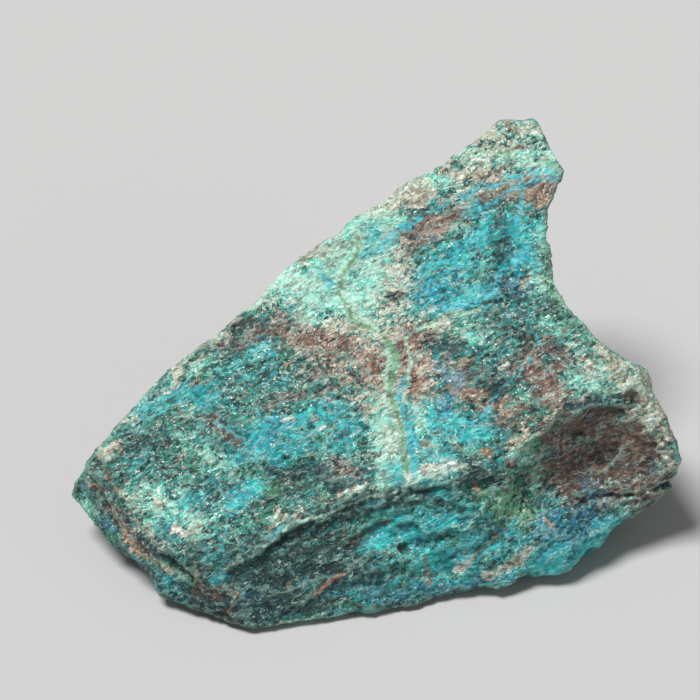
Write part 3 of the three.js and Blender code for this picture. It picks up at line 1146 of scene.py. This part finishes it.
class Cells:
    """A pattern of small irregular cells, each with three random numbers and its own tilted face."""

    def __init__(self, bench: Bench, place: Socket, scale: float) -> None:
        """Adds the pattern.

        Args:
            bench: The node tree.
            place: The coordinates that the pattern lies on.
            scale: About how many cells there are to a millimetre.
        """
        self.bench = bench
        self.place = place
        self.distance = bench.node("ShaderNodeTexVoronoi", {"feature": "F1"},
                                   {"Vector": place, "Scale": scale, "Randomness": 1.0}, "Distance")
        self.colour = self.distance.other("Color")
        self.red, self.green, self.blue = bench.channels(self.colour)

    def facet(self) -> Socket:
        """Gives the height of a flat face that leans its own way in each cell.

        Returns:
            The height, in millimetres where the slope is 1.
        """
        offset = self.bench.vector("SUBTRACT", self.place, self.distance.other("Position"))
        slope = self.bench.vector("SUBTRACT", self.colour, (0.5, 0.5, 0.5))
        return self.bench.node("ShaderNodeVectorMath", {"operation": "DOT_PRODUCT"},
                               {0: offset, 1: slope}, "Value")


def paint(red: float, green: float, blue: float) -> Paint:
    """Turns a colour as seen, from 0 to 255, into the light values that a shader takes.

    Args:
        red: The red channel.
        green: The green channel.
        blue: The blue channel.

    Returns:
        The four values for a colour socket.
    """
    seen = [channel / 255 for channel in (red, green, blue)]
    linear = [c / 12.92 if c <= 0.04045 else ((c + 0.055) / 1.055) ** 2.4 for c in seen]
    return (*linear, 1.0)


@dataclass(frozen=True)
class RockFinish:
    """The stone's finish: the tints of its ground, patches, veins and grains, and of its painted highlights
    and shade.
    """

    ground_dark: Paint = paint(14, 66, 66)
    ground_teal: Paint = paint(30, 132, 132)
    ground_green: Paint = paint(54, 134, 112)
    bright: Paint = paint(6, 144, 158)
    bright_light: Paint = paint(46, 202, 198)
    deep: Paint = paint(6, 112, 150)
    deep_light: Paint = paint(8, 154, 190)
    mint: Paint = paint(108, 208, 188)
    # Pale mint of the mint patches; also the painted highlight on edges.
    pale_mint_and_edge_highlight: Paint = paint(190, 240, 220)
    green: Paint = paint(66, 124, 88)
    green_light: Paint = paint(104, 160, 112)
    brown: Paint = paint(136, 104, 92)
    brown_dark: Paint = paint(66, 46, 42)
    rose: Paint = paint(148, 116, 98)
    rose_light: Paint = paint(192, 160, 140)
    red: Paint = paint(142, 66, 54)
    red_dark: Paint = paint(92, 46, 42)
    dark: Paint = paint(12, 46, 48)
    dark_light: Paint = paint(34, 76, 74)
    cream: Paint = paint(196, 186, 160)
    cream_light: Paint = paint(226, 220, 202)
    ochre: Paint = paint(156, 116, 76)
    ochre_light: Paint = paint(204, 154, 110)
    # Dark grains and hairlines; also the painted shade in hollows.
    dark_grain_and_shade: Paint = paint(20, 36, 38)
    grain_tan: Paint = paint(170, 146, 124)
    grain_pale: Paint = paint(164, 216, 200)
    # Painted highlight: the white of the glints and of the strongest cream spots.
    glint: Paint = paint(240, 244, 238)
    cyan_line: Paint = paint(72, 190, 204)
    pale_line: Paint = paint(186, 222, 200)
    copper_line: Paint = paint(188, 128, 100)
    malachite_line: Paint = paint(70, 162, 102)


@dataclass(frozen=True)
class RockPattern:
    """How fine the patterns are, in waves or cells to a millimetre, and how they are drawn out.

    Reaches, heights, wanders and soft edges are millimetres. The wild noises place each mineral's
    loose patches, and each has a shift of its own.
    """

    bedding: Triple = (2.3, 1.5, 1.0)
    grain_stretch: Triple = (1.25, 1.1, 1.0)
    lump_stretch: Triple = (1.6, 1.2, 1.0)
    dust_stretch: Triple = (1.3, 1.1, 1.0)
    hair_stretch: Triple = (1.8, 1.3, 1.0)
    grains: float = 1.5
    lumps: float = 0.6
    dust: float = 3.4
    shards: float = 2.0
    sway: float = 0.12
    sway_reach: Triple = (3.0, 3.0, 3.0)
    wild: tuple[Point, ...] = ((0.085, 0.0), (0.10, 71.0), (0.13, 37.0))
    rag: float = 0.8
    rag_more: float = 1.1
    broad: float = 0.11
    streaks: float = 0.9
    fibres: float = 2.0
    ripples: float = 1.2
    ripple_height: float = 1.1
    facet_slope: float = 0.8
    vein_sway: float = 0.8
    vein_wander: float = 1.7
    vein_soft: float = 0.4
    vein_gaps: float = 0.45
    gap_edge: float = 0.14
    hairs: float = 0.42


@dataclass(frozen=True)
class Layer:
    """How one mineral's patches are laid: the edge of its mask, its share, and its two tints."""

    mineral: Mineral
    loose: Socket
    ragged: Socket
    edge: float
    share: float
    one: Paint
    two: Paint


@dataclass(frozen=True)
class Accent:
    """How the heart of one mineral's patches is made purer: its edge, where it is full, its share."""

    mineral: Mineral
    ragged: Socket
    raggedness: float
    start: float
    full: float
    share: float
    tint: Any


@dataclass(frozen=True)
class Streak:
    """How one kind of named vein is drawn: its wandering, tint and share, and where its gaps start."""

    course: Socket
    tint: Paint
    gap: float
    share: Any


@dataclass(frozen=True)
class Hair:
    """How one loose net of hairlines is drawn: the noise that it follows, its tint, width and share."""

    course: Socket
    tint: Paint
    width: float
    share: float


def centred(value: Socket) -> Socket:
    """Moves a value between 0 and 1 so that its middle is 0."""
    return value - 0.5


class RockShader:
    """Builds the stone's node network from the tints of its finish."""

    def __init__(self, finish: RockFinish, pattern: RockPattern) -> None:
        """Lays out the coordinates, in millimetres, and the patterns that the whole network shares.

        Args:
            finish: The tints.
            pattern: The patterns' sizes.
        """
        self.finish = finish
        self.pattern = pattern
        self.bench = bench = Bench("chrysocolla_rock")
        place = bench.node("ShaderNodeTexCoord", {}, {}, "Object")
        scaled = {0: place, "Scale": 1.0 / MM}
        self.place = bench.node("ShaderNodeVectorMath", {"operation": "SCALE"}, scaled)
        sway = bench.noise(self.place, pattern.sway, 1.0).other("Color")
        sway = bench.vector("MULTIPLY", bench.vector("SUBTRACT", sway, (0.5, 0.5, 0.5)), pattern.sway_reach)
        swayed = bench.vector("ADD", self.place, sway)
        self.turned = bench.node("ShaderNodeVectorRotate", {"rotation_type": "EULER_XYZ"},
                                 {"Vector": swayed, "Rotation": (LEAN, BEDDING_TURN, 0.0)})
        self.bedded = self.drawn_out(pattern.bedding)
        self.grains = Cells(bench, self.drawn_out(pattern.grain_stretch), pattern.grains)
        self.lumps = Cells(bench, self.drawn_out(pattern.lump_stretch), pattern.lumps)
        self.dust = Cells(bench, self.drawn_out(pattern.dust_stretch), pattern.dust)
        self.shards = Cells(bench, self.bedded, pattern.shards)
        # Where the dark ground and its painted shade are strong.
        self.dark_and_shade_zone = self.level(Mineral.DARK).ramp(0.25, 0.85)
        self.unseen = 1.0 - bench.attribute("shown")
        self.hollow = bench.attribute("hollow")

    def drawn_out(self, stretch: Triple) -> Socket:
        """Returns the bedding's coordinates, stretched by a factor along each axis."""
        return self.bench.vector("DIVIDE", self.turned, stretch)

    def moved(self, step: float) -> Socket:
        """Returns the plain coordinates shifted, so that a noise on them is a different one."""
        return self.bench.vector("ADD", self.place, (step, step * 0.3, step * 0.7))

    def level(self, mineral: Mineral) -> Socket:
        """Reads how strongly one mineral's patches show at each point."""
        return self.bench.attribute(mineral.value)

    def build(self) -> bpy.types.Material:
        """Builds the material and returns it."""
        bench, finish = self.bench, self.finish
        colour = self.patches(self.ground())
        colour, gloss = self.grain(colour)
        # Darkens the dark zones once more after the grain: the dark ground, and painted shade under the
        # ridge, in the creases, under the scar's top and along the lower front.
        deepest_dark_and_shade = self.level(Mineral.DARK).ramp(0.9, 1.25)
        colour = bench.mix(self.dark_and_shade_zone * 0.45 + deepest_dark_and_shade * 0.42, colour, finish.dark)
        colour = self.veins(self.accents(colour))
        # Painted shade darkens the hollows.
        colour = bench.mix(self.hollow.ramp(0.56, 0.98) * 0.5, colour, finish.dark_grain_and_shade)
        # Painted highlight lightens the edges.
        colour = bench.mix(self.hollow.ramp(0.40, 0.05) * 0.18, colour, finish.pale_mint_and_edge_highlight)
        bump = bench.node("ShaderNodeBump", {}, {"Strength": 1.0, "Distance": MM, "Height": self.height()},
                          "Normal")
        shader = bench.node("ShaderNodeBsdfPrincipled", {}, {
            "Base Color": colour, "Roughness": gloss, "Normal": bump, "Specular IOR Level": 0.5})
        bench.node("ShaderNodeOutputMaterial", {}, {"Surface": shader})
        return bench.material

    def height(self) -> Socket:
        """Sums the flat leaning faces of the grains and lumps, and fine ripples along the bedding.

        Returns:
            The height in millimetres.
        """
        pattern = self.pattern
        faces = self.grains.facet() * pattern.facet_slope + self.lumps.facet() * pattern.facet_slope
        return faces + self.bench.noise(self.bedded, pattern.ripples, 4) * pattern.ripple_height

    def ground(self) -> Socket:
        """Mixes the blue-green ground that lies under every patch.

        Returns:
            The colour.
        """
        bench, finish, pattern = self.bench, self.finish, self.pattern
        broad = bench.noise(self.place, pattern.broad, 3)
        streak = bench.noise(self.bedded, pattern.streaks, 2, 0.6)
        streak = streak + centred(self.lumps.red) * 0.14 + centred(self.grains.red) * 0.1
        colour = bench.mix(broad.ramp(0.40, 0.60), finish.ground_teal, finish.ground_green)
        return bench.mix(streak.ramp(0.62, 0.34), colour, finish.ground_dark)

    def mask(self, layer: Layer) -> Socket:
        """Says where one mineral shows: at its patches, loosely elsewhere, and ragged at every edge.

        Args:
            layer: The mineral's layer.

        Returns:
            The mask, from 0 to 1.
        """
        free = centred(layer.loose) * (0.8 + self.unseen * 2.0) + self.unseen * 0.14
        broken = centred(layer.ragged) * 0.8
        for cells, share in ((self.lumps, 0.6), (self.grains, 0.4), (self.shards, 0.36), (self.dust, 0.25)):
            broken = broken + centred(cells.green) * share
        return (self.level(layer.mineral) + free + broken).ramp(layer.edge - 0.14, layer.edge + 0.24)

    def patches(self, colour: Socket) -> Socket:
        """Lays each mineral's patches over the ground.

        Args:
            colour: The ground.

        Returns:
            The colour.
        """
        bench, finish = self.bench, self.finish
        wild = [channel for scale, step in self.pattern.wild
                for channel in bench.three_noises(self.moved(step), scale, 2)]
        rag = bench.three_noises(self.bedded, self.pattern.rag, 2)
        shifted = bench.vector("ADD", self.bedded, (19.0, 7.0, 3.0))
        rag_more = bench.three_noises(shifted, self.pattern.rag_more, 2)
        tint = (self.lumps.blue * 0.5 + self.grains.blue * 0.5).ramp(0.25, 0.75)
        layers = (
            Layer(Mineral.MINT, wild[0], rag[0], 0.50, 0.82, finish.mint, finish.pale_mint_and_edge_highlight),
            Layer(Mineral.GREEN, wild[3], rag[1], 0.50, 0.75, finish.green, finish.green_light),
            # The dark layer lays the dark ground and painted shade.
            Layer(Mineral.DARK, wild[5], rag_more[2], 0.50, 0.88, finish.dark, finish.dark_light),
            Layer(Mineral.BROWN, wild[4], rag_more[0], 0.50, 0.85, finish.brown_dark, finish.brown),
            Layer(Mineral.ROSE, wild[8], rag_more[1], 0.52, 0.75, finish.rose, finish.rose_light),
            Layer(Mineral.RED, wild[4], rag_more[1], 0.60, 0.75, finish.red_dark, finish.red),
            Layer(Mineral.BRIGHT, wild[1], rag[1], 0.50, 0.85, finish.bright, finish.bright_light),
            Layer(Mineral.DEEP, wild[2], rag[2], 0.54, 0.65, finish.deep, finish.deep_light),
            Layer(Mineral.OCHRE, wild[7], rag_more[0], 0.60, 0.70, finish.ochre, finish.ochre_light),
            # The cream layer lays cream ground and, at its strongest patches, painted highlights.
            Layer(Mineral.CREAM, wild[6], rag_more[1], 0.56, 0.75, finish.cream, finish.cream_light),
        )
        for layer in layers:
            own = bench.mix(tint, layer.one, layer.two)
            colour = bench.mix(self.mask(layer) * layer.share, colour, own)
        return colour

    def grain(self, colour: Socket) -> tuple[Socket, Socket]:
        """Breaks the colour up into fine grains and dark pits, and adds pale glints, which are painted
        highlights.

        Args:
            colour: The colour so far.

        Returns:
            The colour, and the roughness.
        """
        bench, finish = self.bench, self.finish
        grains, lumps, dust, shards = self.grains, self.lumps, self.dust, self.shards
        shade = bench.noise(self.bedded, self.pattern.fibres, 2, 0.6) * 0.22 - 0.04
        for cells, share in ((shards, 0.46), (grains, 0.36), (lumps, 0.20), (dust, 0.92)):
            shade = shade + cells.red * share
        grey = bench.node("ShaderNodeCombineColor", {}, {name: shade for name in CHANNELS})
        colour = bench.mix(1.0, colour, grey, "MULTIPLY")
        # Grains and painted glints show most on upward-facing surfaces, where the light falls, which is
        # painted light, and least in the dark zones.
        lit_top_share = (1.0 - self.dark_and_shade_zone * 0.65) * (0.3 + bench.attribute("upward").ramp(0.0, 0.65) * 0.8)
        tan = (grains.green + centred(dust.green) * 0.5).ramp(0.78, 1.0) * lit_top_share
        pale = (grains.blue + centred(dust.blue) * 0.5).ramp(0.80, 1.05) * lit_top_share
        pits = (grains.red + dust.green * 0.3).ramp(0.30, 0.12)
        # Painted highlight: tiny white glints of light off crystal faces.
        bright = dust.blue + centred(grains.red) * 0.14 + centred(shards.red) * 0.22
        bright = bright.ramp(0.98, 1.04) * lit_top_share
        colour = bench.mix(tan * 0.5, colour, finish.grain_tan)
        colour = bench.mix(pale * 0.5, colour, finish.grain_pale)
        colour = bench.mix(pits * 0.5, colour, finish.dark_grain_and_shade)
        colour = bench.mix(bright * 0.85, colour, finish.glint)
        gloss = 0.70 - grains.blue * 0.25 - bright * 0.2
        return colour, gloss

    def accents(self, colour: Socket) -> Socket:
        """Makes the hearts of four minerals' patches purer than their ragged edges; the cream hearts are
        painted white highlights.

        Args:
            colour: The colour so far.

        Returns:
            The colour.
        """
        bench, finish, lumps = self.bench, self.finish, self.lumps
        earth = bench.mix(self.shards.blue, finish.brown_dark, finish.brown)
        turquoise = bench.mix(lumps.blue, finish.bright, finish.bright_light)
        accents = (
            Accent(Mineral.BROWN, lumps.blue, 0.5, 0.8, 1.2, 0.45, earth),
            Accent(Mineral.MINT, lumps.green, 0.6, 0.85, 1.3, 0.4, finish.pale_mint_and_edge_highlight),
            Accent(Mineral.BRIGHT, lumps.red, 0.5, 0.75, 1.15, 0.55, turquoise),
            # Painted highlight: the strongest cream patches turn glint white.
            Accent(Mineral.CREAM, self.grains.red, 0.5, 1.25, 1.5, 0.85, finish.glint),
        )
        for accent in accents:
            heart = self.level(accent.mineral) + centred(accent.ragged) * accent.raggedness
            colour = bench.mix(heart.ramp(accent.start, accent.full) * accent.share, colour, accent.tint)
        return colour

    def line(self, vein: Vein, jitter: Socket, soft: float) -> Socket:
        """Says where one kind of named vein runs, wandering a little and soft at its sides."""
        return (self.bench.attribute(vein.value) + jitter).ramp(soft, -0.15)

    def veins(self, colour: Socket) -> Socket:
        """Draws the named veins, and a loose net of hairline seams all over.

        Args:
            colour: The colour so far.

        Returns:
            The colour.
        """
        bench, finish, pattern = self.bench, self.finish, self.pattern
        sway = bench.three_noises(self.place, pattern.vein_sway, 3)
        gaps = bench.noise(self.place, pattern.vein_gaps, 3) + centred(self.grains.red) * 0.2
        mottle = 0.5 + self.grains.green * 0.3 + self.dust.red * 0.2
        jitter = centred(sway[0]) * 1.3
        halo = self.line(Vein.MALACHITE, jitter, 1.2) * mottle
        core = self.line(Vein.MALACHITE, jitter, pattern.vein_soft) * mottle
        colour = bench.mix(halo * 0.65, colour, finish.cream)
        colour = bench.mix(core * 0.9, colour, finish.malachite_line)
        named = {
            Vein.CYAN: Streak(sway[1], finish.cyan_line, 0.36, mottle),
            # The pale seams include the painted highlight along the ridge's crest.
            Vein.PALE: Streak(sway[2], finish.pale_line, 0.26, 0.85),
            Vein.COPPER: Streak(sway[1], finish.copper_line, 0.30, 0.85),
        }
        for vein, look in named.items():
            drawn = self.line(vein, centred(look.course) * pattern.vein_wander, pattern.vein_soft)
            drawn = drawn * gaps.ramp(look.gap, look.gap + pattern.gap_edge)
            colour = bench.mix(drawn * look.share, colour, look.tint)
        loose = bench.three_noises(self.drawn_out(pattern.hair_stretch), pattern.hairs, 2)
        hairs = (
            Hair(loose[0], finish.pale_line, 0.016, 0.55),
            Hair(loose[1], finish.cyan_line, 0.014, 0.5),
            Hair(loose[2], finish.dark_grain_and_shade, 0.012, 0.4),
        )
        for hair in hairs:
            thread = centred(hair.course).size().ramp(hair.width, hair.width * 0.3)
            colour = bench.mix(thread * gaps.ramp(0.44, 0.56) * hair.share, colour, hair.tint)
        return colour


@dataclass(frozen=True)
class FloorFinish:
    """The floor's finish: plain pale paper."""

    tint: Paint = (0.46, 0.46, 0.455, 1.0)
    roughness: float = 0.9


@dataclass(frozen=True)
class Lamp:
    """One soft far light: where it shines from, how wide it is in degrees, and its strength."""

    name: str
    way: Triple
    spread: float
    strength: float


@dataclass(frozen=True)
class Studio:
    """The plain floor, the soft lights and the camera."""

    floor_size: float = 6.0
    floor_finish: FloorFinish = FloorFinish()
    lamps: tuple[Lamp, ...] = (Lamp("top_light", (-0.35, -0.12, 1.0), 20, 3.9),
                               Lamp("right_fill", (1.0, -0.8, 0.3), 60, 0.4))
    surround: float = 0.22
    field_width: float = 150.2
    lens: float = 200.0
    sensor: float = 36.0
    nearest: float = 0.01
    aim: Triple = (-5.5, 60.5, -9.0)

    def build(self) -> None:
        """Sets up the floor, the lights, the surroundings and the camera."""
        self.floor()
        for lamp in self.lamps:
            self.light(lamp)
        self.surroundings()
        self.camera()
        bpy.context.scene.view_settings.view_transform = "Standard"

    def floor(self) -> None:
        """Lays the pale floor that the stone stands on."""
        bpy.ops.object.select_all(action="DESELECT")
        bpy.ops.mesh.primitive_plane_add(size=self.floor_size)
        floor = bpy.context.active_object
        floor.name = "floor"
        bench = Bench("floor_paper")
        finish = self.floor_finish
        shader = bench.node("ShaderNodeBsdfPrincipled", {}, {
            "Base Color": finish.tint, "Roughness": finish.roughness})
        bench.node("ShaderNodeOutputMaterial", {}, {"Surface": shader})
        floor.data.materials.append(bench.material)

    def light(self, lamp: Lamp) -> None:
        """Adds one soft far light.

        Args:
            lamp: Its place and strength.
        """
        way = Vector(lamp.way)
        bpy.ops.object.select_all(action="DESELECT")
        bpy.ops.object.light_add(type="SUN", location=way)
        added = bpy.context.active_object
        added.name = lamp.name
        added.data.angle = math.radians(lamp.spread)
        added.data.energy = lamp.strength
        added.rotation_euler = (-way).to_track_quat("-Z", "Y").to_euler()

    def surroundings(self) -> None:
        """Fills the space around with faint even light."""
        world = bpy.data.worlds.new("surroundings")
        world.use_nodes = True
        background = world.node_tree.nodes["Background"]
        background.inputs["Color"].default_value = (1.0, 1.0, 1.0, 1.0)
        background.inputs["Strength"].default_value = self.surround
        bpy.context.scene.world = world

    def camera(self) -> None:
        """Sets the camera square to the leaning show side."""
        distance = self.lens * self.field_width * MM / self.sensor
        bpy.ops.object.select_all(action="DESELECT")
        bpy.ops.object.camera_add(location=shown_place(*self.aim) + SHOW_OUT * distance)
        camera = bpy.context.active_object
        camera.data.lens = self.lens
        camera.data.sensor_width = self.sensor
        camera.data.clip_start = self.nearest
        camera.rotation_euler = (math.pi / 2 - LEAN, 0.0, 0.0)
        bpy.context.scene.camera = camera


def write_sizes() -> None:
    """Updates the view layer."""
    bpy.context.view_layer.update()


def main() -> None:
    """Builds the stone, dresses it and sets up the studio."""
    logging.basicConfig(level=logging.INFO)
    stone = Stone().build()
    stone.data.materials.append(RockShader(RockFinish(), RockPattern()).build())
    LOG.info("dressed %s", stone.name)
    studio = Studio()
    studio.build()
    LOG.info("studio: floor, camera and %d lamps", len(studio.lamps))
    write_sizes()


if __name__ == "__main__":
    main()
